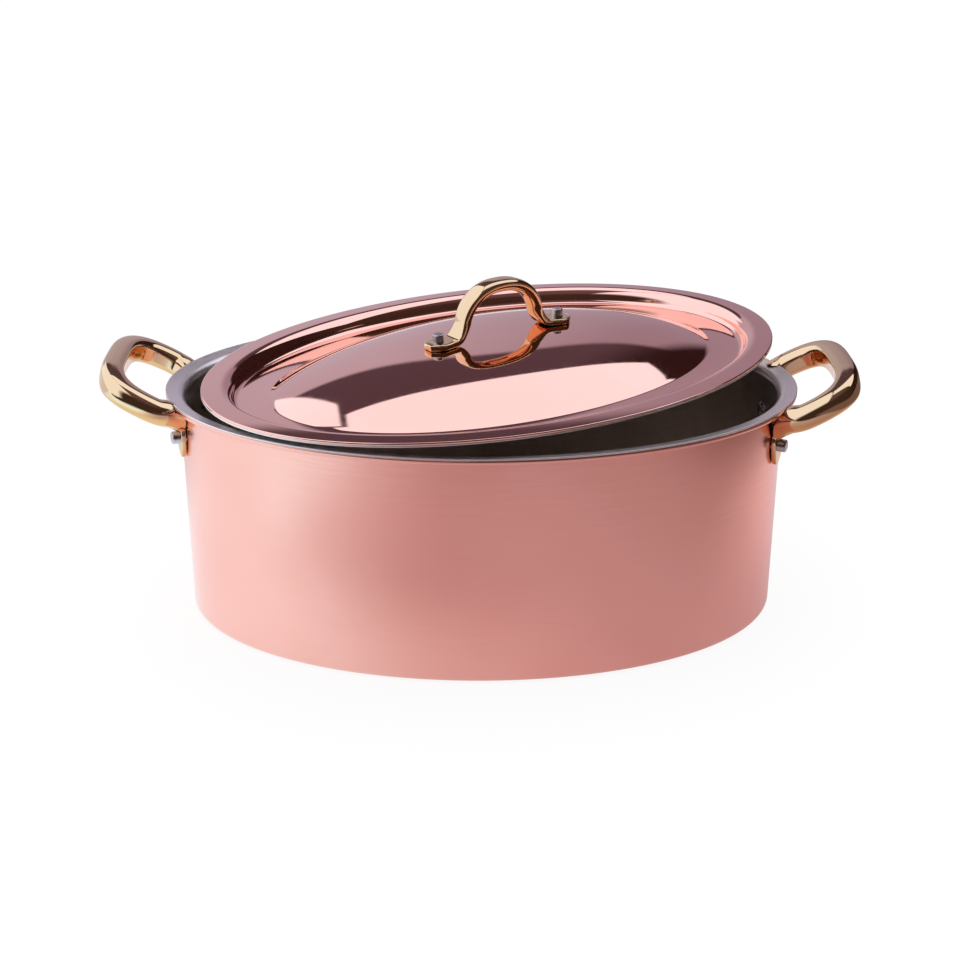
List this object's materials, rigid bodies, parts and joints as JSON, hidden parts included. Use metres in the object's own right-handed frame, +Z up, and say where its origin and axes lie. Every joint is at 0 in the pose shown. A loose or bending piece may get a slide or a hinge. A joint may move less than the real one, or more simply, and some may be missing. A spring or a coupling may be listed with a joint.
{
  "type": "oval casserole with lid",
  "caption": "Oval copper casserole with a steel lining, cast side handles riveted to its ends, and a domed lid with a cast handle that lies turned across the rim and lifts off.",
  "frame": {"origin": "middle of the flat base, on the surface that it rests on", "axes": "+X along the long axis to the right handle, +Y to the back, away from the side seen in front, +Z up"},
  "size_m": [0.3556, 0.2472, 0.159],
  "materials": {
    "body_copper": "satin copper",
    "lid_copper": "mirror-polished copper",
    "lining_steel": "satin stainless steel",
    "handle_brass": "polished cast brass",
    "rivet_steel": "turned steel"
  },
  "bodies": {
    "pot": {"pot_copper_shell": "body_copper", "pot_steel_lining": "lining_steel", "left_handle": "handle_brass", "left_handle_front_rivet": "rivet_steel", "left_handle_back_rivet": "rivet_steel", "right_handle": "handle_brass", "right_handle_front_rivet": "rivet_steel", "right_handle_back_rivet": "rivet_steel"},
    "lid": {"lid_copper_shell": "lid_copper", "lid_steel_lining": "lining_steel", "lid_handle": "handle_brass", "lid_left_rivet": "rivet_steel", "lid_right_rivet": "rivet_steel"}
  },
  "joints": [
    {"name": "lid_lift", "type": "slide", "parent": "pot", "child": "lid", "axis": [0, 0, 1], "range_m": [0, 0.15]}
  ]
}
